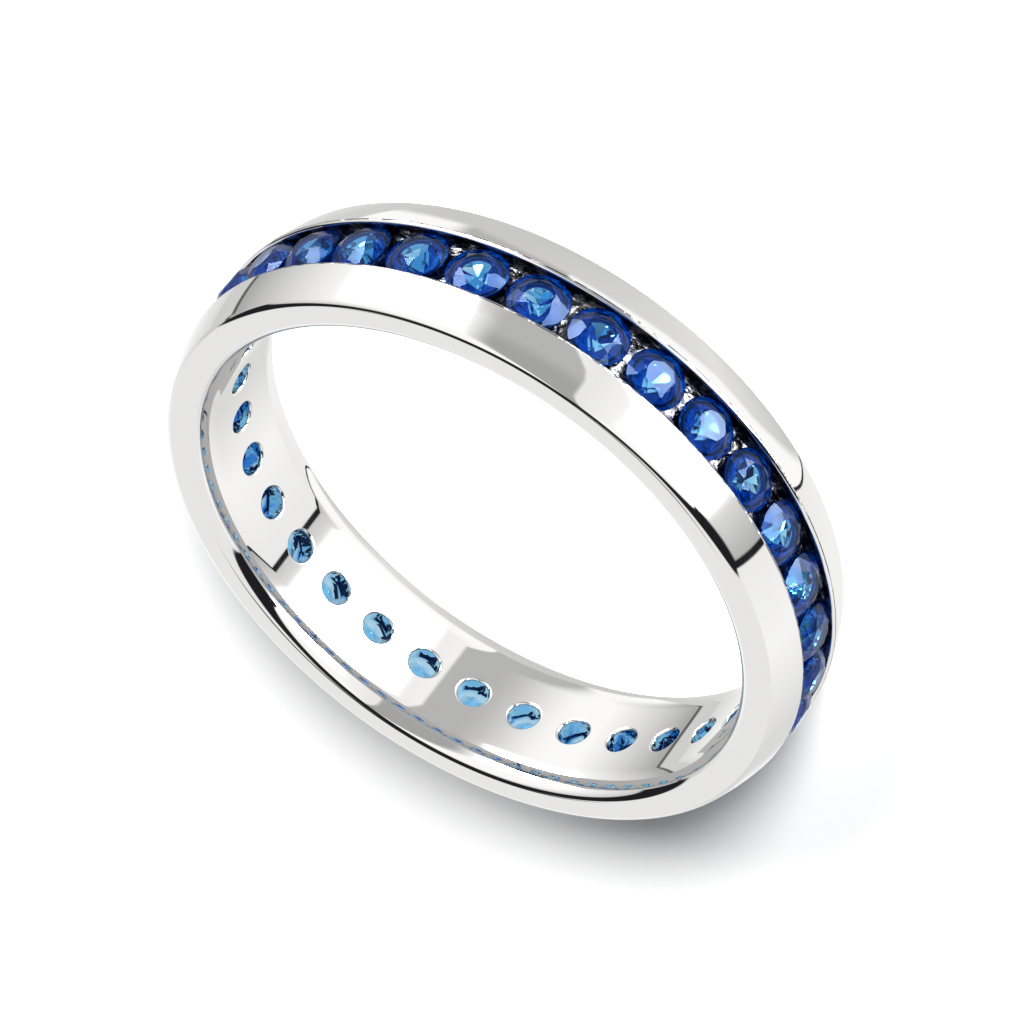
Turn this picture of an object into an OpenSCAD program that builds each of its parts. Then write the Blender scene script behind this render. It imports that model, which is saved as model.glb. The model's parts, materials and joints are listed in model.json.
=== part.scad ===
// Full eternity band: one cast metal band with a channel between two domed rails,
// and round brilliant cut sapphires seated in the channel all the way round.
// The band lies on its side face with the finger's axis along +Z.

/* [Band] */
// Inside diameter, about a US size 7
bore_d = 17.3; // [16:0.1:20]
// Width of the band along the finger
band_w = 4.4; // [4.2:0.1:5]
// Height of the side faces above the bore
side_h = 1.13; // [1.1:0.01:1.2]
// Height of the rails' channel edges above the bore
rail_h = 1.53; // [1.5:0.01:1.6]
// Radius of the gentle dome over each rail
dome_r = 6; // [4:0.5:12]

/* [Edges] */
// Width of the oval rounding at each end of the bore, seen on the side face
lip_rise = 0.5; // [0.2:0.01:0.6]
// Depth of that rounding along the finger
lip_depth = 0.92; // [0.4:0.01:1]
// Radius of the soft corner between a side face and its rail
crease_r = 0.1; // [0.05:0.01:0.2]
// Size of the bright bevel on each rail's channel edge
bevel = 0.07; // [0.03:0.01:0.12]

/* [Channel] */
// Opening between the two rails
channel_w = 1.73; // [1.66:0.01:1.78]
// Height of the channel floor above the bore
floor_h = 0.97; // [0.9:0.01:1.05]
// Depth of the bearing groove cut into each wall for the girdles
groove_depth = 0.07; // [0.06:0.01:0.09]
// Diameter of the hole drilled behind each stone
azure_d = 0.94; // [0.9:0.01:1.12]
// Softening of each hole's rim on the bore
azure_rim = 0.08; // [0.04:0.01:0.1]

/* [Stones] */
// Number of stones round the band
stone_count = 32; // [32]
// Girdle diameter of a stone
stone_d = 1.8; // [1.7:0.01:1.82]
// Height of the girdle's middle above the bore
girdle_h = 1.23; // [1.2:0.01:1.26]
// Table diameter as a share of the girdle diameter
table_share = 0.5; // [0.45:0.01:0.6]
// Crown height as a share of the girdle diameter
crown_share = 0.167; // [0.14:0.001:0.18]
// Pavilion depth as a share of the girdle diameter
pavilion_share = 0.43; // [0.4:0.01:0.45]
// Girdle thickness as a share of the girdle diameter
girdle_share = 0.03; // [0.02:0.01:0.04]
// Gap between a stone and its seat, measured sideways
seat_gap = 0.04; // [0.03:0.01:0.06]

/* [Hidden] */
bore_r = bore_d / 2;
half_w = band_w / 2;
half_channel = channel_w / 2;
side_r = bore_r + side_h;
rail_r = bore_r + rail_h;
floor_r = bore_r + floor_h;
girdle_r = bore_r + girdle_h;
round_fn = 128;
cutter_fn = 48;
lip_steps = 8;
dome_steps = 6;
crease_steps = 4;
groove_half = 0.1;
// How far a cutter reaches past the surface that it cuts
overcut = 0.05;
sides = 8;
facet_turn = 360 / sides;

stone_r = stone_d / 2;
table_r = stone_r * table_share;
crown_h = stone_d * crown_share;
pavilion_h = stone_d * pavilion_share;
girdle_t = stone_d * girdle_share;
// Where the star facets end on the crown, and the lower facets on the pavilion, from the stone's axis
star_r = stone_r * 0.74;
lower_r = stone_r * 0.3;

// The dome's centre: the circle runs through the bevel's outer end and the side face's top corner
dome_start = [rail_r, half_channel + bevel];
dome_end = [side_r, half_w];
dome_chord = norm(dome_end - dome_start);
dome_mid = (dome_start + dome_end) / 2;
dome_in = [dome_start[1] - dome_end[1], dome_end[0] - dome_start[0]] / dome_chord;
dome_c = dome_mid + dome_in * sqrt(pow(dome_r, 2) - pow(dome_chord / 2, 2));

// The soft corner's centre touches the side face and the dome from inside
crease_z = half_w - crease_r;
crease_c = [dome_c[0] + sqrt(pow(dome_r - crease_r, 2) - pow(crease_z - dome_c[1], 2)), crease_z];

function angle_to(from, to) = atan2(to[1] - from[1], to[0] - from[0]);

function arc_points(centre, radius, from, to, steps) =
    [for (i = [0:steps]) centre + radius * [cos(from + (to - from) * i / steps),
                                            sin(from + (to - from) * i / steps)]];

// A quarter of an ellipse, from the side face into the bore
function lip_points() =
    [for (i = [0:lip_steps]) let (turn = 90 * i / lip_steps)
        [bore_r + lip_rise * (1 - sin(turn)), half_w - lip_depth * (1 - cos(turn))]];

// Half of the cross-section, as [radius, height above the middle plane], from the floor's middle outwards
function half_profile() =
    let (crease_turn = angle_to(dome_c, crease_c),
         groove_low = girdle_r - groove_half,
         groove_high = girdle_r + groove_half)
    concat(
        [[floor_r, half_channel],
         [groove_low, half_channel],
         [groove_low + groove_depth, half_channel + groove_depth],
         [groove_high - groove_depth, half_channel + groove_depth],
         [groove_high, half_channel],
         [rail_r - bevel, half_channel]],
        arc_points(dome_c, dome_r, angle_to(dome_c, dome_start), crease_turn, dome_steps),
        [for (i = [1:crease_steps])
            crease_c + crease_r * [cos(crease_turn + (90 - crease_turn) * i / crease_steps),
                                   sin(crease_turn + (90 - crease_turn) * i / crease_steps)]],
        lip_points());

function mirrored(points) =
    [for (i = [len(points) - 1:-1:0]) [points[i][0], -points[i][1]]];

// The pavilion's radius at a height above the band's axis, with the seat's gap added
function seat_radius(r) =
    stone_r * (r - (girdle_r - girdle_t / 2 - pavilion_h)) / pavilion_h + seat_gap;

// One stone's seat and the hole drilled behind it, along +X
module seat_cutter() {
    hole_r = azure_d / 2;
    seat_foot = girdle_r - girdle_t / 2 - pavilion_h + (hole_r - seat_gap) * pavilion_h / stone_r;
    seat_top = floor_r + 2 * overcut;
    rim_top = bore_r + azure_rim;
    rim_foot = bore_r - overcut;
    rim_r = hole_r + rim_top - rim_foot;
    // Well inside the bore, whose wall curves away from the hole's axis
    start = bore_r - azure_d / 2;
    rotate([0, 90, 0])
        rotate_extrude($fn = cutter_fn)
            polygon([[0, start], [rim_r, start], [rim_r, rim_foot],
                     [hole_r, rim_top], [hole_r, seat_foot],
                     [seat_radius(seat_top), seat_top], [0, seat_top]]);
}

function stone_angle(k) = 360 * (k - 1) / stone_count;

// The cast band, one solid: base, two rails, channel, seats and drilled holes
module channel_band() {
    section = half_profile();
    color([0.86, 0.86, 0.87])
        translate([0, 0, half_w])
            difference() {
                rotate_extrude($fn = round_fn)
                    polygon(concat(section, mirrored(section)));
                for (k = [1:stone_count])
                    rotate([0, 0, stone_angle(k)]) seat_cutter();
            }
}

function ring_points(radius, z, count, start) =
    [for (i = [0:count - 1]) [radius * cos(start + 360 * i / count),
                              radius * sin(start + 360 * i / count), z]];

// A round brilliant with its table up, and the middle of its girdle at the origin
module brilliant() {
    half_t = girdle_t / 2;
    half_turn = facet_turn / 2;
    // Heights that keep the eight kites flat, on the crown and on the pavilion
    star_z = half_t + crown_h * (stone_r - star_r * cos(half_turn)) / (stone_r - table_r);
    lower_z = -half_t - pavilion_h * (1 - lower_r * cos(half_turn) / stone_r);
    table = 0;
    star = table + sides;
    top = star + sides;
    bottom = top + 2 * sides;
    lower = bottom + 2 * sides;
    culet = lower + sides;
    points = concat(
        ring_points(table_r, half_t + crown_h, sides, 0),
        ring_points(star_r, star_z, sides, half_turn),
        ring_points(stone_r, half_t, 2 * sides, 0),
        ring_points(stone_r, -half_t, 2 * sides, 0),
        ring_points(lower_r, lower_z, sides, half_turn),
        [[0, 0, -half_t - pavilion_h]]);
    faces = concat(
        [[for (i = [sides - 1:-1:0]) table + i]],
        [for (i = [0:sides - 1]) let (n = (i + 1) % sides, b = (i + sides - 1) % sides, g = 2 * i,
                                      e = (2 * i + 2) % (2 * sides))
            each [[table + i, table + n, star + i],
                  [table + i, star + i, top + g, star + b],
                  [star + i, top + g + 1, top + g],
                  [star + i, top + e, top + g + 1],
                  [lower + i, bottom + g, bottom + g + 1],
                  [lower + i, bottom + g + 1, bottom + e],
                  [culet, lower + b, bottom + g, lower + i]]],
        [for (j = [0:2 * sides - 1]) let (n = (j + 1) % (2 * sides))
            [top + j, top + n, bottom + n, bottom + j]]);
    polyhedron(points, faces);
}

// Stone k, counted round the band from +X
module sapphire(k) {
    color([0.05, 0.16, 0.5])
        rotate([0, 0, stone_angle(k)])
            translate([girdle_r, 0, half_w])
                rotate([0, 90, 0]) brilliant();
}

function stone_name(k) = str("sapphire_", k < 10 ? "0" : "", k);

channel_band();
for (k = [1:stone_count])
    sapphire(k);
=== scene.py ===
import json
import math
import random
from functools import partial

import bmesh
import bpy
import numpy as np
from mathutils import Matrix, Vector


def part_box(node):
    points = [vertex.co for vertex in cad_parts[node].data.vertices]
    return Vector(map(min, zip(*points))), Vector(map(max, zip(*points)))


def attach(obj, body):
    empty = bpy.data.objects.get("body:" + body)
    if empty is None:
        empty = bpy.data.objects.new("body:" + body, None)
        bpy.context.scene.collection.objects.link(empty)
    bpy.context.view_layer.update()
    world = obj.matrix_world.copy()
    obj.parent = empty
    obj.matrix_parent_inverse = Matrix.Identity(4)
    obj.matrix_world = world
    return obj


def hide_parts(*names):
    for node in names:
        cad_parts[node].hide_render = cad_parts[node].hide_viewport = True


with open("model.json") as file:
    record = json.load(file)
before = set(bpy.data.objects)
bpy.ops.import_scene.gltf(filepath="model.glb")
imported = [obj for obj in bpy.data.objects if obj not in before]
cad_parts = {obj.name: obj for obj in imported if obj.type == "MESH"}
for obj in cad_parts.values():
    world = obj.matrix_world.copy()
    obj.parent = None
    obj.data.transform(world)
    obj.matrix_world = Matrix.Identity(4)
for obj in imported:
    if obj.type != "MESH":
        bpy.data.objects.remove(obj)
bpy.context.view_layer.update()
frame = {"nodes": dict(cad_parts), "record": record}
MM = 0.001

# The band's sizes, from the frame
BAND_NODE = "channel_band"
STONE_NODES = sorted(n for n in frame["nodes"] if n.startswith("sapphire_"))
BORE = next(m for m in frame["record"]["mounts"] if m["name"] == "finger_bore")
BORE_R = BORE["dims"]["r_mm"] * MM
BAND_LOW, BAND_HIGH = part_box(BAND_NODE)
BAND_W = BAND_HIGH.z - BAND_LOW.z
MIDDLE_Z = BAND_W / 2
RAIL_R = (BAND_HIGH.x - BAND_LOW.x) / 2

# The band's other sizes, as the real ring has them
SIDE_R = BORE_R + 1.13 * MM
DOME_R = 6.0 * MM
LIP_RISE = 0.5 * MM
LIP_DEPTH = 0.92 * MM
LIP_TURN = math.radians(68)
CREASE_R = 0.27 * MM
CHANNEL_HALF = 0.865 * MM
BEVEL = 0.09 * MM
FLOOR_R = BORE_R + 0.97 * MM
GROOVE_DEPTH = 0.07 * MM
GROOVE_HALF = 0.1 * MM
AZURE_R = 0.47 * MM
AZURE_RIM = 0.08 * MM
SEAT_RIM = 0.09 * MM

# The stones
STONE_COUNT = len(STONE_NODES)
STONE_PITCH = 2 * math.pi / STONE_COUNT
STONE_R = 0.9 * MM
GIRDLE_R = BORE_R + 1.23 * MM
TABLE_R = 0.5 * STONE_R
STAR_R = 0.72 * STONE_R
LOWER_R = 0.4 * STONE_R
CROWN_H = 0.334 * STONE_R
PAVILION_H = 0.86 * STONE_R
GIRDLE_T = 0.06 * STONE_R
CROWN_FOOT = 0.012 * STONE_R
CULET_CUT = 0.02 * STONE_R
FACET_TURN = 45
MOST_TILT = 1.0

# How each stone that faces the camera was turned in its seat, in degrees, by its count from +X
STONE_TURNS = {1: 0, 2: 20, 3: 30, 4: 3, 5: 5, 6: 10, 7: 14, 8: 25, 9: 32, 10: 27, 11: 36, 12: 27, 13: 12}

# Fineness of the meshes
SEGMENTS_PER_STONE = 12
HOLE_POINTS = 4 * SEGMENTS_PER_STONE
SEGMENTS = SEGMENTS_PER_STONE * STONE_COUNT
GIRDLE_POINTS = 96
PATCH_RINGS = 6
PATCH_SPREAD = 1.3
RIM_STEPS = 7
BEVEL_STEPS = 8
DOME_STEPS = 14
CREASE_STEPS = 12
SIDE_STEPS = 2
LIP_STEPS = (20, 14)

# The camera, as the photograph was taken: its place round the ring, its height and its own turn
CAMERA_AZIMUTH = math.radians(85.2)
CAMERA_ELEVATION = math.radians(33.91)
CAMERA_ROLL = math.radians(-143.16)
CAMERA_DISTANCE = 216.25 * MM
FRAME_PIXELS = 1024
RING_MIDDLE_PIXEL = (502.8, 516.3)
PIXELS_PER_METRE = 35347.0
SENSOR_MM = 36.0


# Camera

def make_camera():
    """A long lens, a little aside because the ring isn't quite in the picture's middle."""
    azimuth, elevation, roll = CAMERA_AZIMUTH, CAMERA_ELEVATION, CAMERA_ROLL
    back = Vector((math.cos(azimuth) * math.cos(elevation), math.sin(azimuth) * math.cos(elevation),
                   math.sin(elevation)))
    level = Vector((-math.sin(azimuth), math.cos(azimuth), 0))
    rise = back.cross(level)
    right = math.cos(roll) * level + math.sin(roll) * rise
    up = math.cos(roll) * rise - math.sin(roll) * level
    aside = (RING_MIDDLE_PIXEL[0] - FRAME_PIXELS / 2) / PIXELS_PER_METRE
    above = (FRAME_PIXELS / 2 - RING_MIDDLE_PIXEL[1]) / PIXELS_PER_METRE
    place = Vector((0, 0, MIDDLE_Z)) + back * CAMERA_DISTANCE - right * aside - up * above
    data = bpy.data.cameras.new("camera")
    data.sensor_width = SENSOR_MM
    data.lens = SENSOR_MM * PIXELS_PER_METRE * CAMERA_DISTANCE / FRAME_PIXELS
    data.clip_start = 0.01
    camera = bpy.data.objects.new("camera", data)
    camera.matrix_world = Matrix.Translation(place) @ Matrix((right, up, back)).transposed().to_4x4()
    bpy.context.scene.collection.objects.link(camera)
    bpy.context.scene.camera = camera


# Mesh helpers

NO_NORMAL = (0.0, 0.0, 0.0)
SHARP_ANGLE = math.radians(30)


class Surface:
    """Collects rows of points and the faces between them, for one joined mesh. A point may give the true
    direction of the surface there."""

    def __init__(self):
        self.points = []
        self.normals = []
        self.faces = []
        self.slots = []

    def add(self, points, normals=None):
        start = len(self.points)
        self.points.extend(points)
        self.normals.extend(normals if normals is not None else [NO_NORMAL] * len(points))
        return list(range(start, start + len(points)))

    def bridge(self, inner, outer, slot):
        """Faces between two closed rows of the same length."""
        count = len(inner)
        for i in range(count):
            j = (i + 1) % count
            self.faces.append((inner[i], inner[j], outer[j], outer[i]))
            self.slots.append(slot)

    def weld(self, tolerance=1e-7):
        """Merges points that lie at the same place."""
        keys = np.round(np.array(self.points) / tolerance).astype(np.int64)
        _, first, back = np.unique(keys, axis=0, return_index=True, return_inverse=True)
        back = back.reshape(-1)
        faces, slots = [], []
        for face, slot in zip(self.faces, self.slots):
            corners = []
            for c in (int(back[i]) for i in face):
                if c not in corners:
                    corners.append(c)
            if len(corners) > 2:
                faces.append(corners)
                slots.append(slot)
        self.points = np.array(self.points)[first]
        self.normals = np.array(self.normals)[first]
        self.faces, self.slots = faces, slots

    def build(self, name, materials):
        mesh = bpy.data.meshes.new(name)
        mesh.from_pydata(self.points.tolist(), [], self.faces)
        for material in materials:
            mesh.materials.append(material)
        mesh.polygons.foreach_set("material_index", self.slots)
        mesh.polygons.foreach_set("use_smooth", [True] * len(mesh.polygons))
        mesh.update()
        mesh.set_sharp_from_angle(angle=SHARP_ANGLE)
        mesh.normals_split_custom_set_from_vertices(self.normals.tolist())
        thing = bpy.data.objects.new(name, mesh)
        bpy.context.scene.collection.objects.link(thing)
        return thing


# The band's cross-section

def arc(centre, radius, start, end, steps):
    """Points of an arc after its first one, as (radius, height, the surface's direction)."""
    turns = np.linspace(start, end, steps + 1)[1:]
    return [(centre[0] + radius * math.cos(a), centre[1] + radius * math.sin(a), a) for a in turns]


def dome_circle():
    """Centre of the circle of a rail's dome, from the bevel's outer end to the side face's corner."""
    start = np.array([RAIL_R, CHANNEL_HALF + BEVEL])
    end = np.array([SIDE_R, BAND_W / 2])
    chord = end - start
    length = np.linalg.norm(chord)
    inward = np.array([-chord[1], chord[0]]) / length
    centre = (start + end) / 2 + inward * math.sqrt(DOME_R ** 2 - (length / 2) ** 2)
    return centre, start


def wall_profile():
    """Up the channel's wall, with the bearing groove that the girdles sit in."""
    low, high = GIRDLE_R - GROOVE_HALF, GIRDLE_R + GROOVE_HALF
    deep = CHANNEL_HALF + GROOVE_DEPTH
    places = [(FLOOR_R, CHANNEL_HALF), (low, CHANNEL_HALF), (low + GROOVE_DEPTH, deep),
              (high - GROOVE_DEPTH, deep), (high, CHANNEL_HALF)]
    return [(r, z, None) for r, z in places] + [(RAIL_R - BEVEL, CHANNEL_HALF, -math.pi / 2)]


def rail_profile():
    """From the channel's edge over the rail, across the side face, and over the worn-in lip to the bore."""
    dome_c, dome_start = dome_circle()
    crease_z = BAND_W / 2 - CREASE_R
    crease_r = dome_c[0] + math.sqrt((DOME_R - CREASE_R) ** 2 - (crease_z - dome_c[1]) ** 2)
    dome_from = math.atan2(dome_start[1] - dome_c[1], dome_start[0] - dome_c[0])
    dome_to = math.atan2(crease_z - dome_c[1], crease_r - dome_c[0])
    profile = arc((RAIL_R - BEVEL, CHANNEL_HALF + BEVEL), BEVEL, -math.pi / 2, dome_from, BEVEL_STEPS)
    profile += arc(dome_c, DOME_R, dome_from, dome_to, DOME_STEPS)
    profile += arc((crease_r, crease_z), CREASE_R, dome_to, math.pi / 2, CREASE_STEPS)
    side = np.linspace(crease_r, BORE_R + LIP_RISE, SIDE_STEPS + 1)[1:]
    profile += [(r, BAND_W / 2, math.pi / 2) for r in side]
    profile += lip_profile()
    return profile


def lip_profile():
    """Two arcs, a tight one from the side face and a long one that runs into the bore."""
    sine, cosine = math.sin(LIP_TURN), math.cos(LIP_TURN)
    tight, long = np.linalg.solve([[sine, 1 - sine], [1 - cosine, cosine]], [LIP_RISE, LIP_DEPTH])
    knee = math.pi / 2 + LIP_TURN
    first = (BORE_R + LIP_RISE, BAND_W / 2 - tight)
    second = (first[0] + (tight - long) * math.cos(knee), first[1] + (tight - long) * math.sin(knee))
    return (arc(first, tight, math.pi / 2, knee, LIP_STEPS[0])
            + arc(second, long, knee, math.pi, LIP_STEPS[1]))


# The band's surfaces

def ring_row(surface, radius, height, way, sign):
    """A full circle of points at one radius and height from the middle plane."""
    turns = (np.arange(SEGMENTS) - SEGMENTS_PER_STONE / 2) * (2 * math.pi / SEGMENTS)
    points = [(radius * math.cos(a), radius * math.sin(a), MIDDLE_Z + sign * height) for a in turns]
    if way is None:
        return surface.add(points)
    flat, rise = math.cos(way), sign * math.sin(way)
    return surface.add(points, [(flat * math.cos(a), flat * math.sin(a), rise) for a in turns])


def sector_frame(k):
    """Outward and sideways directions at stone k."""
    turn = k * STONE_PITCH
    return np.array([math.cos(turn), math.sin(turn), 0]), np.array([-math.sin(turn), math.cos(turn), 0])


CORNER_TURN = math.radians(135)
HOLE_TURNS = [CORNER_TURN - i * 2 * math.pi / HOLE_POINTS for i in range(HOLE_POINTS)]
UP = np.array([0, 0, 1.0])


def around_hole(surface, k, wall_r, hole_r, half_height, facing):
    """A cylinder's patch round one hole, in rows from the hole's circle to the sector's border. facing is -1
    where it faces the ring's axis, and 0 where it gives no direction of its own."""
    out, side = sector_frame(k)
    steps = np.linspace(-1, 1, SEGMENTS_PER_STONE + 1)[:-1]
    border = [(x, 1) for x in steps] + [(1, -x) for x in steps] + [(-x, -1) for x in steps] \
        + [(-1, x) for x in steps]
    border = np.array(border) * [STONE_PITCH / 2 * wall_r, half_height]
    circle = np.array([(wall_r * math.asin(hole_r * math.cos(a) / wall_r), hole_r * math.sin(a))
                       for a in HOLE_TURNS])
    rows = []
    for j in range(PATCH_RINGS + 1):
        share = (j / PATCH_RINGS) ** PATCH_SPREAD
        flat = circle * (1 - share) + border * share
        ways = [out * math.cos(x / wall_r) + side * math.sin(x / wall_r) for x in flat[:, 0]]
        points = [wall_r * way + UP * (MIDDLE_Z + z) for way, z in zip(ways, flat[:, 1])]
        rows.append(surface.add(points, [facing * way for way in ways] if facing else None))
    return rows


def hole_row(surface, k, radius, reach, bend=None):
    """A circle round a hole's axis. reach gives the distance from the ring's axis for a sideways offset, and
    bend is the turn of the surface from the bore's wall to the hole's."""
    out, side = sector_frame(k)
    points, normals = [], []
    for a in HOLE_TURNS:
        aside = radius * math.cos(a)
        points.append(out * reach(aside) + side * aside + UP * (MIDDLE_Z + radius * math.sin(a)))
        if bend is not None:
            across = side * math.cos(a) + UP * math.sin(a)
            normals.append(-out * math.cos(bend) - across * math.sin(bend))
    return surface.add(points, normals if bend is not None else None)


RIM_R = AZURE_R + AZURE_RIM


def rim_reach(aside, radius, depth):
    """How far a point of the hole's rounded rim lies from the ring's axis."""
    return math.sqrt(BORE_R ** 2 - (aside * RIM_R / radius) ** 2) + depth


def wall_reach(aside, share):
    """The same for the hole's wall, at a share of the way from the rim to the seat."""
    low = rim_reach(aside, AZURE_R, AZURE_RIM)
    high = math.sqrt(FLOOR_R ** 2 - aside ** 2) - SEAT_RIM
    return (1 - share) * low + share * high


def drill_hole(surface, k, bore_rows, floor_rows):
    """The hole behind one stone, with a rounded rim at the bore and a seat at the channel's floor."""
    rows = [bore_rows[0]]
    for i in range(1, RIM_STEPS + 1):
        bend = math.pi / 2 * i / RIM_STEPS
        radius = RIM_R - AZURE_RIM * math.sin(bend)
        depth = AZURE_RIM * (1 - math.cos(bend))
        rows.append(hole_row(surface, k, radius, partial(rim_reach, radius=radius, depth=depth), bend))
    for share in (0.5, 1.0):
        rows.append(hole_row(surface, k, AZURE_R, partial(wall_reach, share=share)))
    rows.append(floor_rows[0])
    for a, b in zip(rows, rows[1:]):
        surface.bridge(a, b, POLISHED)


POLISHED, CUT_FLOOR, CUT_WALL = 0, 1, 2


def build_band(materials):
    """The band as one closed mesh: two rails, the channel, the bore, and a hole behind each stone."""
    surface = Surface()
    wall, rail = wall_profile(), rail_profile()
    for sign in (1, -1):
        rows = [ring_row(surface, r, z, way, sign) for r, z, way in wall + rail]
        slots = [CUT_WALL] * (len(wall) - 1) + [POLISHED] * len(rail)
        # A fine dark line of painted shade where the bevel meets the rail, in the cut wall's colour
        for i in range(BEVEL_STEPS - 2, BEVEL_STEPS):
            slots[len(wall) - 1 + i] = CUT_WALL
        for a, b, slot in zip(rows, rows[1:], slots):
            first, second = (a, b) if sign > 0 else (b, a)
            surface.bridge(first, second, slot)
    for k in range(STONE_COUNT):
        bore_rows = around_hole(surface, k, BORE_R, RIM_R, BAND_W / 2 - LIP_DEPTH, -1)
        floor_rows = around_hole(surface, k, FLOOR_R, AZURE_R + SEAT_RIM, CHANNEL_HALF, 0)
        for a, b in zip(bore_rows, bore_rows[1:]):
            surface.bridge(b, a, POLISHED)
        for a, b in zip(floor_rows, floor_rows[1:]):
            surface.bridge(a, b, CUT_FLOOR)
        drill_hole(surface, k, bore_rows, floor_rows)
    surface.weld()
    return surface.build("band", materials)


# The stones

def facet_planes():
    """Every facet of a round brilliant as (normal, distance). Its axis is +Z and its girdle is at 0."""
    planes = []

    def facet(turn, points):
        a, b, c = (np.array([r * math.cos(turn + s), r * math.sin(turn + s), z]) for r, s, z in points)
        normal = np.cross(b - a, c - a)
        normal /= np.linalg.norm(normal)
        if normal @ a < 0:
            normal = -normal
        planes.append((normal, normal @ a))

    half = GIRDLE_T / 2
    eighth = math.pi / 4
    table_z = half + CROWN_H
    girdle_z = half + CROWN_FOOT
    kite_slope = (table_z - girdle_z) / (STONE_R - TABLE_R)
    star_z = table_z - kite_slope * (STAR_R * math.cos(eighth / 2) - TABLE_R)
    low = half + PAVILION_H
    main_slope = PAVILION_H / STONE_R
    lower_z = main_slope * LOWER_R * math.cos(eighth / 2) - low
    nudge = 0.01
    for k in range(8):
        turn = k * eighth
        facet(turn, [(TABLE_R, 0, table_z), (STONE_R, 0, girdle_z), (STAR_R, eighth / 2, star_z)])
        facet(turn, [(TABLE_R, 0, table_z), (TABLE_R, eighth, table_z), (STAR_R, eighth / 2, star_z)])
        facet(turn, [(0, 0, -low), (STONE_R, -nudge, -half), (STONE_R, nudge, -half)])
        for edge in (eighth / 2, -eighth / 2):
            facet(turn, [(STAR_R, edge, star_z), (STONE_R, 0, girdle_z), (STONE_R, edge, girdle_z)])
            facet(turn, [(LOWER_R, edge, lower_z), (STONE_R, 0, -half), (STONE_R, edge, -half)])
    planes.append((UP, table_z))
    planes.append((-UP, low - CULET_CUT))
    return planes


def cut_stone():
    """One brilliant as a mesh: a fine cylinder cut by each facet's plane."""
    bm = bmesh.new()
    bmesh.ops.create_cone(bm, cap_ends=True, segments=GIRDLE_POINTS, radius1=STONE_R, radius2=STONE_R,
                          depth=3 * STONE_R)
    for normal, distance in facet_planes():
        geom = bm.verts[:] + bm.edges[:] + bm.faces[:]
        bmesh.ops.bisect_plane(bm, geom=geom, dist=1e-9, plane_co=Vector(normal * distance),
                               plane_no=Vector(normal), clear_outer=True)
        border = [e for e in bm.edges if e.is_boundary]
        if border:
            bmesh.ops.holes_fill(bm, edges=border)
    bmesh.ops.remove_doubles(bm, verts=bm.verts, dist=1e-7)
    bmesh.ops.dissolve_limit(bm, angle_limit=math.radians(0.3), verts=bm.verts, edges=bm.edges)
    mesh = bpy.data.meshes.new("brilliant")
    bm.to_mesh(mesh)
    bm.free()
    return mesh


def build_stones(material):
    """A brilliant in each seat, turned and tilted a hair as a setter leaves them."""
    rng = random.Random(7)
    cut = cut_stone()
    cut.materials.append(material)
    for k, node in enumerate(STONE_NODES):
        mesh = cut.copy()
        place = Matrix.Rotation(k * STONE_PITCH, 4, "Z") @ Matrix.Translation((GIRDLE_R, 0, MIDDLE_Z)) \
            @ Matrix.Rotation(math.pi / 2, 4, "Y")
        own = rng.uniform(0, FACET_TURN)
        own_turn = Matrix.Rotation(math.radians(STONE_TURNS.get(k, own)), 4, "Z")
        tilt = Matrix.Rotation(math.radians(rng.uniform(-MOST_TILT, MOST_TILT)), 4, "X") \
            @ Matrix.Rotation(math.radians(rng.uniform(-MOST_TILT, MOST_TILT)), 4, "Y")
        mesh.transform(place @ tilt @ own_turn)
        stone = bpy.data.objects.new(f"stone_{k + 1:02d}", mesh)
        bpy.context.scene.collection.objects.link(stone)
        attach(stone, "root")
        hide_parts(node)


# Materials

class Nodes:
    """A short way to write a node tree."""

    def __init__(self, tree):
        self.tree = tree
        tree.nodes.clear()

    def put(self, node, name, value):
        if isinstance(value, bpy.types.NodeSocket):
            self.tree.links.new(value, node.inputs[name])
        else:
            node.inputs[name].default_value = value

    def add(self, kind, inputs=None, **settings):
        node = self.tree.nodes.new(kind)
        for name, value in settings.items():
            setattr(node, name, value)
        for name, value in (inputs or {}).items():
            self.put(node, name, value)
        return node

    def math(self, operation, *values):
        return self.add("ShaderNodeMath", dict(enumerate(values)), operation=operation).outputs[0]

    def smooth(self, value, low, high):
        """0 at low, 1 at high, smooth between."""
        node = self.add("ShaderNodeMapRange", {"Value": value, "From Min": low, "From Max": high},
                        interpolation_type="SMOOTHSTEP")
        return node.outputs["Result"]

    def between(self, value, low, high, soft):
        """1 from low to high, falling to 0 over the soft width on each side."""
        return self.math("MULTIPLY", self.smooth(value, self.shift(low, -soft), low),
                         self.smooth(value, self.shift(high, soft), high))

    def shift(self, value, by):
        return self.math("ADD", value, by) if isinstance(value, bpy.types.NodeSocket) else value + by

    def steps(self, value, low, high, start, end):
        """start below low, end above high, smooth between."""
        return self.math("MULTIPLY_ADD", self.smooth(value, low, high), end - start, start)

    def curve(self, value, stops, across, along):
        """Straight lines through the stops. across and along are the ranges of the two axes."""
        place = self.math("DIVIDE", self.math("SUBTRACT", value, across[0]), across[1] - across[0])
        node = self.add("ShaderNodeFloatCurve", {"Value": place})
        points = node.mapping.curves[0].points
        for i, (a, b) in enumerate(stops):
            spot = ((a - across[0]) / (across[1] - across[0]), (b - along[0]) / (along[1] - along[0]))
            if i < 2:
                points[i].location = spot
            else:
                points.new(*spot)
        for point in points:
            point.handle_type = "VECTOR"
        node.mapping.update()
        return self.math("MULTIPLY_ADD", node.outputs[0], along[1] - along[0], along[0])

    def mix(self, share, a, b):
        """Colour a at share 0 and b at 1. The node's colours are its inputs 6 and 7 and its output 2."""
        node = self.add("ShaderNodeMix", {0: share}, data_type="RGBA")
        self.put(node, 6, a)
        self.put(node, 7, b)
        return node.outputs[2]

    def finish(self, kind, **sockets):
        out = self.add(kind)
        for name, socket in sockets.items():
            self.tree.links.new(socket, out.inputs[name])


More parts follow.
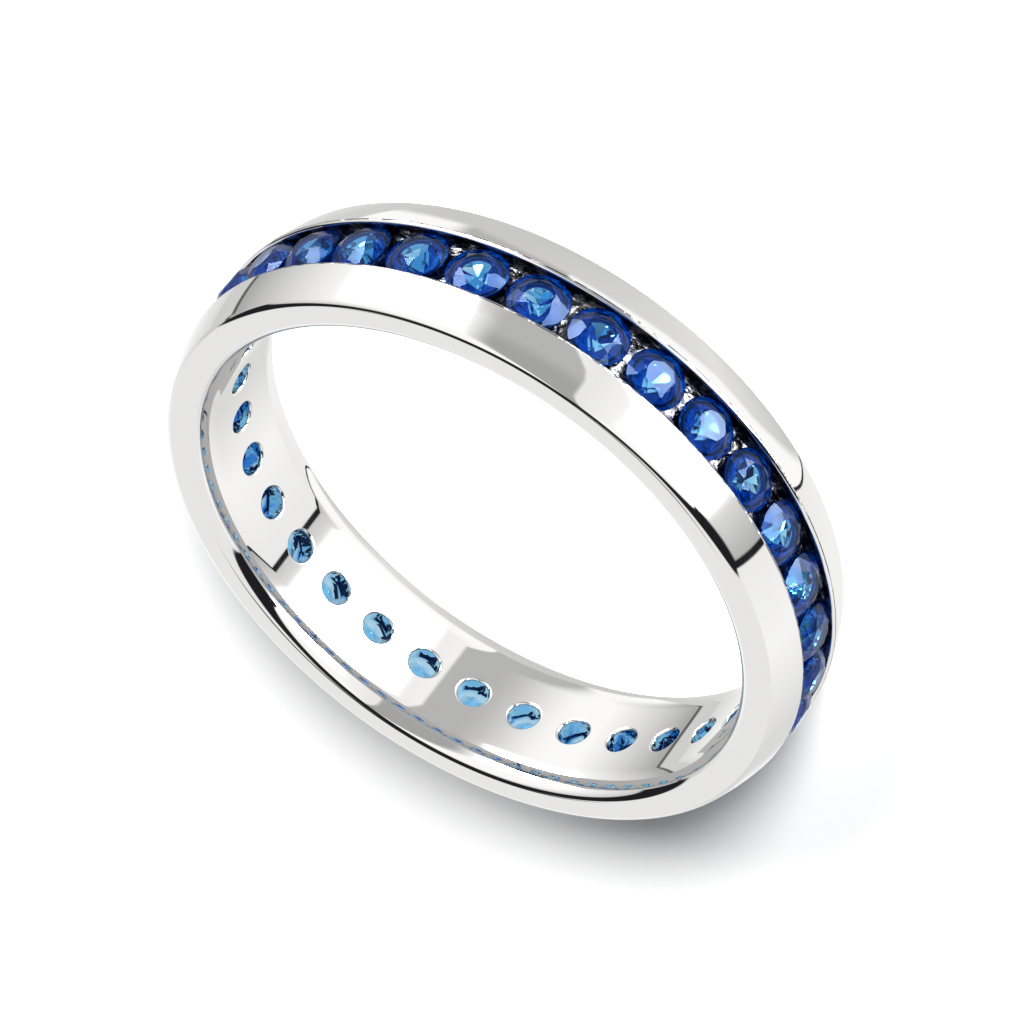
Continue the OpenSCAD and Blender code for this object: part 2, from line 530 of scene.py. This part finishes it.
WHITE_GOLD = (0.9, 0.895, 0.885, 1)

# Noise in the metal: wiping marks on the polish, and chips on the cut surfaces, with patches of painted
# shade on them
WIPE_SCALE = 900.0
WIPE_RANGE = (0.2, 0.9)
WIPE_ROUGHNESS = (0.02, 0.045)
CHIP_SCALE = 5200.0
CHIP_DEPTH = 0.00008
CHIP_STRENGTH = 0.9
SHADE_PATCH_SCALE = 2100.0
SHADE_PATCH_RANGE = (0.42, 0.62)

# Each cut surface, darkened as painted shade in the channel: its colour in the patches of deeper painted
# shade, its dimmed colour between them, and its roughness
CUT_FLOOR_LOOK = ((0.02, 0.023, 0.032, 1), (0.26, 0.26, 0.27, 1), 0.22)
CUT_WALL_LOOK = ((0.015, 0.018, 0.03, 1), (0.4, 0.39, 0.37, 1), 0.3)

SAPPHIRE_IOR = 1.77
SAPPHIRE_FACE = (0.9, 0.95, 1.0, 1)
SAPPHIRE_SHEEN = (0.125, 0.2, 0.34, 1)
# A faint blue glow painted into the stones
SAPPHIRE_GLOW = (0.0, 0.14, 0.8, 1)
SAPPHIRE_GLOW_STRENGTH = 0.014
SAPPHIRE_DEEP = (0.0, 0.6, 0.88, 1)
SAPPHIRE_DENSITY = 2400.0

FLOOR_PAINT = (0.9, 0.9, 0.9, 1)
FLOOR_ROUGHNESS = 0.9
PLAIN_WHITE = (1.0, 1.0, 1.0, 1)


def new_material(name):
    material = bpy.data.materials.new(name)
    material.use_nodes = True
    return material, Nodes(material.node_tree)


def polished_gold():
    """Mirror-polished white gold with faint wiping marks."""
    material, nodes = new_material("polished_white_gold")
    place = nodes.add("ShaderNodeTexCoord").outputs["Object"]
    marks = nodes.add("ShaderNodeTexNoise", {"Vector": place, "Scale": WIPE_SCALE, "Detail": 3.0})
    rough = nodes.steps(marks.outputs["Fac"], *WIPE_RANGE, *WIPE_ROUGHNESS)
    shader = nodes.add("ShaderNodeBsdfPrincipled",
                       {"Metallic": 1.0, "Base Color": WHITE_GOLD, "Roughness": rough})
    nodes.finish("ShaderNodeOutputMaterial", Surface=shader.outputs[0])
    return material


def shaded_cut_gold(name, painted_shade, dimmed_colour, roughness):
    """Metal as the graver left it: small facets and scratches, its colour darkened as painted shade in the
    channel, with patches of deeper painted shade.
    """
    material, nodes = new_material(name)
    place = nodes.add("ShaderNodeTexCoord").outputs["Object"]
    chips = nodes.add("ShaderNodeTexNoise", {"Vector": place, "Scale": CHIP_SCALE, "Detail": 3.0})
    shade_patches = nodes.add("ShaderNodeTexNoise", {"Vector": place, "Scale": SHADE_PATCH_SCALE, "Detail": 2.0})
    # Patches of deeper painted shade over the dimmed metal colour
    dimmed_share = nodes.smooth(shade_patches.outputs["Fac"], *SHADE_PATCH_RANGE)
    colour = nodes.mix(dimmed_share, painted_shade, dimmed_colour)
    bump = nodes.add("ShaderNodeBump",
                     {"Height": chips.outputs["Fac"], "Strength": CHIP_STRENGTH, "Distance": CHIP_DEPTH})
    shader = nodes.add("ShaderNodeBsdfPrincipled",
                       {"Metallic": 1.0, "Base Color": colour, "Roughness": roughness,
                        "Normal": bump.outputs["Normal"]})
    nodes.finish("ShaderNodeOutputMaterial", Surface=shader.outputs[0])
    return material


def sapphire():
    """Clear blue corundum: the colour is in the depth of the stone, with a faint painted blue glow over it.
    """
    material, nodes = new_material("blue_sapphire")
    shader = nodes.add("ShaderNodeBsdfPrincipled",
                       {"Base Color": SAPPHIRE_FACE, "Roughness": 0.0, "IOR": SAPPHIRE_IOR,
                        "Transmission Weight": 1.0, "Specular Tint": SAPPHIRE_SHEEN,
                        "Emission Color": SAPPHIRE_GLOW, "Emission Strength": SAPPHIRE_GLOW_STRENGTH})
    depth = nodes.add("ShaderNodeVolumeAbsorption", {"Color": SAPPHIRE_DEEP, "Density": SAPPHIRE_DENSITY})
    nodes.finish("ShaderNodeOutputMaterial", Surface=shader.outputs[0], Volume=depth.outputs[0])
    return material


def floor_paint(name, glow):
    """Matt white paint, which may glow a little of its own."""
    material, nodes = new_material(name)
    shader = nodes.add("ShaderNodeBsdfPrincipled",
                       {"Base Color": FLOOR_PAINT, "Roughness": FLOOR_ROUGHNESS, "Specular IOR Level": 0.0,
                        "Emission Color": PLAIN_WHITE, "Emission Strength": glow})
    nodes.finish("ShaderNodeOutputMaterial", Surface=shader.outputs[0])
    return material


# Studio

FLOOR_SIZE = 4.0
PAD_R = SIDE_R - 0.5 * MM
PAD_LIFT = 0.01 * MM
PAD_POINTS = 128
# The pad's glow, painted light that takes away the ring's shadow inside the hole
PAD_GLOW = 1.0


def add_stage(name, points, material):
    """A flat plate of the studio, which the metal and the stones don't mirror."""
    mesh = bpy.data.meshes.new(name)
    mesh.from_pydata(points, [], [tuple(range(len(points)))])
    mesh.materials.append(material)
    plate = bpy.data.objects.new(name, mesh)
    bpy.context.scene.collection.objects.link(plate)
    plate.visible_glossy = False
    plate.visible_transmission = False


def make_floor():
    """A wide floor, and a glowing pad that paints out the ring's shadow in the finger hole, keeping it as
    white as the floor round it.
    """
    half = FLOOR_SIZE / 2
    add_stage("floor", [(-half, -half, 0), (half, -half, 0), (half, half, 0), (-half, half, 0)],
              floor_paint("floor", 0.0))
    turns = [i * 2 * math.pi / PAD_POINTS for i in range(PAD_POINTS)]
    add_stage("light_pad", [(PAD_R * math.cos(a), PAD_R * math.sin(a), PAD_LIFT) for a in turns],
              floor_paint("light_pad", PAD_GLOW))


def linear(grey):
    """Linear light of a display grey from 0 to 255."""
    c = grey / 255
    return c / 12.92 if c <= 0.04045 else ((c + 0.055) / 1.055) ** 2.4


# What stands round the ring. A compass turn is in degrees, 0 to the camera's right and 90 behind the camera.
# A rise is in degrees above the horizon. A grey, from 0 to 255, is what the polished metal shows of a cloth.
METAL = 0.9
COMPASS = (-130.0, 230.0)
RISE = (-90.0, 90.0)

# Tables of (compass turn, grey)
CLOTH = [(-30, 200), (20, 165), (50, 245), (75, 250), (92, 232), (120, 250), (175, 250), (215, 170)]
CLOTH_LOW_GREY = 250
CARD = [(-30, 195), (45, 225), (110, 210), (165, 200), (230, 200)]
OUTSIDE = [(-130, 215), (-98, 250), (-80, 245), (-65, 215), (-50, 215), (-10, 245), (22, 235), (230, 203)]
OUTSIDE_LOW = [(-130, 205), (-80, 235), (-44, 240), (0, 235), (219, 205)]
GAP_GREY = 180
GAP_TOP_GREY = 163
SIDE_GREY = 230
DARK = (0.015, 0.015, 0.017, 1)
LAMP = (20.0, 20.0, 20.2, 1)

# The rises over which a cloth turns to its lower or upper grey
CLOTH_LOW_RISE = (-38, -48)
OUTSIDE_LOW_RISE = (-35, -40)
SIDE_RISE = (12, 20)
GAP_TOP_RISE = (-2, 6)

# Where the arch starts and where the cloth's hem hangs, as (compass turn, rise)
DARK_FROM = [(-130, 14), (17, 14), (21, 1), (31, 2.4), (51, 7), (60, 9.5), (190, 10), (198, 7), (230, 7)]
HEM = [(-130, -60), (25, -60), (50, -63.5), (78, -63), (110, -60), (150, -57.5), (180, -57), (230, -47.5)]

# How soft they are, in degrees: the arch's foot, and the cloth's fade from above its hem to below it
ARCH_FOOT_SOFT = 0.6
HEM_SOFT = (1.0, -2.5)

# The tent's right side and the gap's two sides, as (rise, compass turn)
TENT_SIDE = [(-90, -60), (-60, -25), (-52.5, -2), (-42, 22), (-32, 31), (-17, 21), (4, 22.6), (90, 23)]
GAP_RIGHT = [(-90, 150), (-57, 127), (-32, 108), (-14, 103.5), (-5, 96), (0, 94.5), (90, 94.5)]
GAP_LEFT = [(-90, 220), (-57, 183), (-32, 142), (-5, 129), (90, 129)]

# How soft the gap's sides are: the left one as (rise, degrees), and the right one in degrees
GAP_LEFT_SOFT = [(-90, 5), (-57, 5), (-32, 20), (-5, 6), (90, 6)]
GAP_RIGHT_SOFT = 1.0

# The tent's left side, how soft both sides are, and the dark poles along them, in degrees. For each pole the
# shade ends at the first distance from its side and is full from the second one inwards.
TENT_END = 218.0
TENT_SIDE_SOFT = 0.5
TENT_END_SOFT = 0.7
RIGHT_POLE = (1.7, 0.9)
RIGHT_POLE_TOP = (12.0, 6.0)
LEFT_POLE = (1.6, 0.5)
LEFT_POLE_RISE = (-34, 8)
LEFT_POLE_SOFT = 4
LEFT_POLE_SHARE = 0.8

# The two lamps behind the cloth. The right one reaches further left below than above.
RIGHT_LAMP_FROM = 52
RIGHT_LAMP_TO = (86, 66)
RIGHT_LAMP_TURNS_AT = (-22, -4)
RIGHT_LAMP_SOFT = 18
RIGHT_LAMP_RISE = (-48, 20)
LEFT_LAMP = (143, 166)
LEFT_LAMP_SOFT = 14
LEFT_LAMP_RISE = (-20, 16)
LAMP_RISE_SOFT = 8
LAMP_FALL = 3.0

# The dark arch over the tent's open front: its compass turn, how far its top leans back, and its two edges.
# The front edge leans along the arch, and the back edge steps over a stretch of it.
ARCH_TURN = 24.0
ARCH_TIP = 10.0
ARCH_FRONT = (0.24, 0.17)
ARCH_BACK = (-0.28, -0.06)
ARCH_BACK_STEP = (-0.25, 0.15)
ARCH_SOFT = 0.03

# The fine hoop: how far it lies from the middle direction, in degrees, and its reach aside and up
HOOP_RADII = (18, 27)
HOOP_ASIDE = (-0.19, 0.135)
HOOP_UP = (0.6, 0.7)
HOOP_SOFT = 0.012
HOOP_END_SOFT = 0.03


def flat_grey(grey):
    value = linear(grey) / METAL
    return (value, value, value, 1)


def grey_chart(nodes, compass, stops):
    """Light by compass turn, from the greys that the metal shows."""
    span = COMPASS[1] - COMPASS[0]
    place = nodes.math("MULTIPLY_ADD", compass, 1 / span, -COMPASS[0] / span)
    node = nodes.add("ShaderNodeValToRGB", {0: place})
    elements = node.color_ramp.elements
    elements.remove(elements[-1])
    for i, (turn, grey) in enumerate(stops):
        spot = (turn - COMPASS[0]) / span
        element = elements[0] if i == 0 else elements.new(spot)
        element.position = spot
        element.color = flat_grey(grey)
    return node.outputs["Color"]


def compass_and_rise(nodes, way):
    """Compass turn and rise of the direction looked in. The compass is cut where nothing stands."""
    x, y, z = nodes.add("ShaderNodeSeparateXYZ", {0: way}).outputs
    middle = math.radians((COMPASS[0] + COMPASS[1]) / 2)
    turn = CAMERA_AZIMUTH - math.pi / 2 + middle
    ahead = nodes.math("MULTIPLY_ADD", x, math.cos(turn), nodes.math("MULTIPLY", y, math.sin(turn)))
    aside = nodes.math("MULTIPLY_ADD", y, math.cos(turn), nodes.math("MULTIPLY", x, -math.sin(turn)))
    turned = nodes.math("ARCTAN2", aside, ahead)
    compass = nodes.math("MULTIPLY_ADD", turned, 180 / math.pi, math.degrees(middle))
    rise = nodes.math("MULTIPLY", nodes.math("ARCSINE", z), 180 / math.pi)
    return compass, rise


def reach_towards(nodes, way, turn, tip=0.0):
    """How far the direction looked in points towards a compass turn and rise, from -1 to 1."""
    a, b = math.radians(turn) + CAMERA_AZIMUTH - math.pi / 2, math.radians(tip)
    target = (math.cos(a) * math.cos(b), math.sin(a) * math.cos(b), math.sin(b))
    reach = nodes.add("ShaderNodeVectorMath", {0: way, 1: target}, operation="DOT_PRODUCT")
    return reach.outputs["Value"]


def lamp_share(nodes, compass, rise):
    """Two lamps behind the cloth, right and left of the gap."""
    right_to = nodes.steps(rise, *RIGHT_LAMP_TURNS_AT, *RIGHT_LAMP_TO)
    right = nodes.math("MULTIPLY", nodes.between(compass, RIGHT_LAMP_FROM, right_to, RIGHT_LAMP_SOFT),
                       nodes.between(rise, *RIGHT_LAMP_RISE, LAMP_RISE_SOFT))
    left = nodes.math("MULTIPLY", nodes.between(compass, *LEFT_LAMP, LEFT_LAMP_SOFT),
                      nodes.between(rise, *LEFT_LAMP_RISE, LAMP_RISE_SOFT))
    return nodes.math("POWER", nodes.math("MAXIMUM", right, left), LAMP_FALL)


def gap_share(nodes, compass, rise):
    """The gap that the camera looks through, whose sides lean outward lower down."""
    right = nodes.curve(rise, GAP_RIGHT, RISE, COMPASS)
    left = nodes.curve(rise, GAP_LEFT, RISE, COMPASS)
    soft = nodes.curve(rise, GAP_LEFT_SOFT, RISE, RISE)
    from_right = nodes.smooth(compass, nodes.shift(right, -GAP_RIGHT_SOFT),
                              nodes.shift(right, GAP_RIGHT_SOFT))
    to_left = nodes.smooth(compass, nodes.math("ADD", left, soft), nodes.math("SUBTRACT", left, soft))
    return nodes.math("MULTIPLY", from_right, to_left)


def arch_share(nodes, compass, rise, way):
    """The dark arch, which starts above the cloth's top edge."""
    across = reach_towards(nodes, way, ARCH_TURN + 90, ARCH_TIP)
    along = reach_towards(nodes, way, ARCH_TURN)
    front = nodes.math("MULTIPLY_ADD", along, ARCH_FRONT[1], ARCH_FRONT[0])
    back = nodes.steps(along, *ARCH_BACK_STEP, *ARCH_BACK)
    before = nodes.smooth(nodes.math("SUBTRACT", front, across), -ARCH_SOFT, ARCH_SOFT)
    behind = nodes.smooth(nodes.math("SUBTRACT", across, back), -ARCH_SOFT, ARCH_SOFT)
    over = nodes.math("SUBTRACT", rise, nodes.curve(compass, DARK_FROM, COMPASS, RISE))
    above = nodes.smooth(over, -ARCH_FOOT_SOFT, ARCH_FOOT_SOFT)
    return nodes.math("MULTIPLY", nodes.math("MULTIPLY", before, behind), above)


def hoop_share(nodes, way):
    """A fine dark hoop round the place that the side face mirrors."""
    reach = reach_towards(nodes, way, -90, math.degrees(CAMERA_ELEVATION))
    near, far = (math.cos(math.radians(turn)) for turn in HOOP_RADII)
    hoop = nodes.between(reach, far, near, HOOP_SOFT)
    side = nodes.between(reach_towards(nodes, way, 0), *HOOP_ASIDE, HOOP_END_SOFT)
    high = nodes.smooth(reach_towards(nodes, way, 0, 90), *HOOP_UP)
    return nodes.math("MULTIPLY", hoop, nodes.math("MULTIPLY", side, high))


def cloth_light(nodes, compass, rise):
    """The white cloth with its lamps and the gap, and the cards below its hem."""
    low = nodes.smooth(rise, *CLOTH_LOW_RISE)
    light = nodes.mix(low, grey_chart(nodes, compass, CLOTH), flat_grey(CLOTH_LOW_GREY))
    light = nodes.mix(lamp_share(nodes, compass, rise), light, LAMP)
    top = nodes.smooth(rise, *GAP_TOP_RISE)
    gap_light = nodes.mix(top, flat_grey(GAP_GREY), flat_grey(GAP_TOP_GREY))
    light = nodes.mix(gap_share(nodes, compass, rise), light, gap_light)
    hem = nodes.math("SUBTRACT", rise, nodes.curve(compass, HEM, COMPASS, RISE))
    return nodes.mix(nodes.smooth(hem, *HEM_SOFT), light, grey_chart(nodes, compass, CARD))


def outside_light(nodes, compass, rise):
    """The paler cards outside the tent."""
    low = nodes.smooth(rise, *OUTSIDE_LOW_RISE)
    light = nodes.mix(low, grey_chart(nodes, compass, OUTSIDE), grey_chart(nodes, compass, OUTSIDE_LOW))
    return nodes.mix(nodes.smooth(rise, *SIDE_RISE), light, flat_grey(SIDE_GREY))


def pole_share(nodes, compass, rise, edge):
    """A dark pole along each side of the tent. edge is the turn from the tent's right side."""
    right = nodes.math("MULTIPLY", nodes.smooth(nodes.math("ABSOLUTE", edge), *RIGHT_POLE),
                       nodes.smooth(rise, *RIGHT_POLE_TOP))
    from_end = nodes.math("ABSOLUTE", nodes.math("SUBTRACT", compass, TENT_END))
    height = nodes.math("MULTIPLY", nodes.between(rise, *LEFT_POLE_RISE, LEFT_POLE_SOFT), LEFT_POLE_SHARE)
    left = nodes.math("MULTIPLY", nodes.smooth(from_end, *LEFT_POLE), height)
    return nodes.math("MAXIMUM", right, left)


def tent_light(nodes, way):
    """The light tent: white cloth with two lamps behind it, a grey gap where the camera looks in, a dark
    arch over its open front, and paler cards outside."""
    compass, rise = compass_and_rise(nodes, way)
    edge = nodes.math("SUBTRACT", compass, nodes.curve(rise, TENT_SIDE, RISE, COMPASS))
    within = nodes.math("MULTIPLY", nodes.smooth(edge, -TENT_SIDE_SOFT, TENT_SIDE_SOFT),
                        nodes.smooth(compass, TENT_END + TENT_END_SOFT, TENT_END - TENT_END_SOFT))
    light = nodes.mix(within, outside_light(nodes, compass, rise), cloth_light(nodes, compass, rise))
    lines = nodes.math("MAXIMUM", hoop_share(nodes, way), arch_share(nodes, compass, rise, way))
    dark = nodes.math("MAXIMUM", pole_share(nodes, compass, rise, edge), lines)
    return nodes.mix(dark, light, DARK)


# The room's brightness for the floor, and the most light in a second reflection and through a stone
ROOM_WHITE = (0.22, 0.22, 0.22, 1)
SECOND_LIMIT = 0.5
STONE_LIMIT = 1.0

# Light that a stone passes on from the camera's side and from the far side, and how these two meet
STONE_FRONT_LIGHT = (0.22, 0.5, 0.8, 1)
STONE_BACK_LIGHT = (3.7, 1.8, 1.25, 1)
STONE_SIDES_MEET = (0.3, -0.3)


def at_most(nodes, light, limit):
    """The light, no brighter than the limit."""
    least = nodes.add("ShaderNodeVectorMath", {0: light, 1: (limit,) * 3}, operation="MINIMUM")
    return least.outputs["Vector"]


def metal_light(nodes, light, path):
    """What the metal mirrors, greyer where it comes by way of a second reflection."""
    second = nodes.math("GREATER_THAN", path.outputs["Glossy Depth"], 1.5)
    return nodes.mix(second, light, at_most(nodes, light, SECOND_LIMIT))


def stone_light(nodes, light, way):
    """What a stone passes on, dimmed on the camera's side as by the head and hands behind a real camera."""
    away = nodes.smooth(reach_towards(nodes, way, 90), *STONE_SIDES_MEET)
    tint = nodes.mix(away, STONE_FRONT_LIGHT, STONE_BACK_LIGHT)
    passed = nodes.add("ShaderNodeVectorMath", {0: at_most(nodes, light, STONE_LIMIT), 1: tint},
                       operation="MULTIPLY")
    return passed.outputs["Vector"]


def make_world():
    """The floor sees an even white, and the polished metal and the stones see the light tent."""
    world = bpy.data.worlds.new("studio")
    bpy.context.scene.world = world
    world.use_nodes = True
    nodes = Nodes(world.node_tree)
    way = nodes.add("ShaderNodeTexCoord").outputs["Generated"]
    light = tent_light(nodes, way)
    path = nodes.add("ShaderNodeLightPath")
    seen = nodes.mix(path.outputs["Is Glossy Ray"], ROOM_WHITE, metal_light(nodes, light, path))
    seen = nodes.mix(path.outputs["Is Transmission Ray"], seen, stone_light(nodes, light, way))
    seen = nodes.mix(path.outputs["Is Camera Ray"], seen, PLAIN_WHITE)
    background = nodes.add("ShaderNodeBackground", {"Color": seen, "Strength": 1.0})
    nodes.finish("ShaderNodeOutputWorld", Surface=background.outputs[0])
    world.cycles.sampling_method = "NONE"


# Two soft lamps on the camera's side: turn from the camera, height and width in degrees, and strength
KEY_LAMP = (8, 25, 16, 6.2)
SIDE_LAMP = (50, 30, 20, 2.1)


def add_lamp(name, turn, height, width, strength):
    """A soft far lamp that only the floor sees."""
    data = bpy.data.lights.new(name, "SUN")
    data.energy = strength
    data.angle = math.radians(width)
    lamp = bpy.data.objects.new(name, data)
    azimuth = CAMERA_AZIMUTH + math.radians(turn)
    rise = math.radians(height)
    flat = math.cos(rise)
    way = Vector((math.cos(azimuth) * flat, math.sin(azimuth) * flat, math.sin(rise)))
    lamp.rotation_mode = "QUATERNION"
    lamp.rotation_quaternion = way.to_track_quat("Z", "Y")
    lamp.visible_glossy = False
    lamp.visible_transmission = False
    bpy.context.scene.collection.objects.link(lamp)


def make_lights():
    """The key lamp lays the ring's shadow behind it, and the side lamp lifts that shadow's left part."""
    add_lamp("key", *KEY_LAMP)
    add_lamp("side", *SIDE_LAMP)


def set_bounces():
    """Enough bounces for light to work its way round inside the stones, and true display colours."""
    scene = bpy.context.scene
    scene.view_settings.view_transform = "Standard"
    scene.cycles.max_bounces = 24
    scene.cycles.transmission_bounces = 20
    scene.cycles.glossy_bounces = 12
    scene.cycles.blur_glossy = 0.0


# The whole scene

make_camera()
set_bounces()
make_floor()
make_world()
make_lights()
# The channel's cut surfaces, darkened as painted shade
channel_floor = shaded_cut_gold("cut_floor_gold_painted_shade", *CUT_FLOOR_LOOK)
channel_wall = shaded_cut_gold("cut_wall_gold_painted_shade", *CUT_WALL_LOOK)
band = build_band([polished_gold(), channel_floor, channel_wall])
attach(band, "root")
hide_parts(BAND_NODE)
build_stones(sapphire())
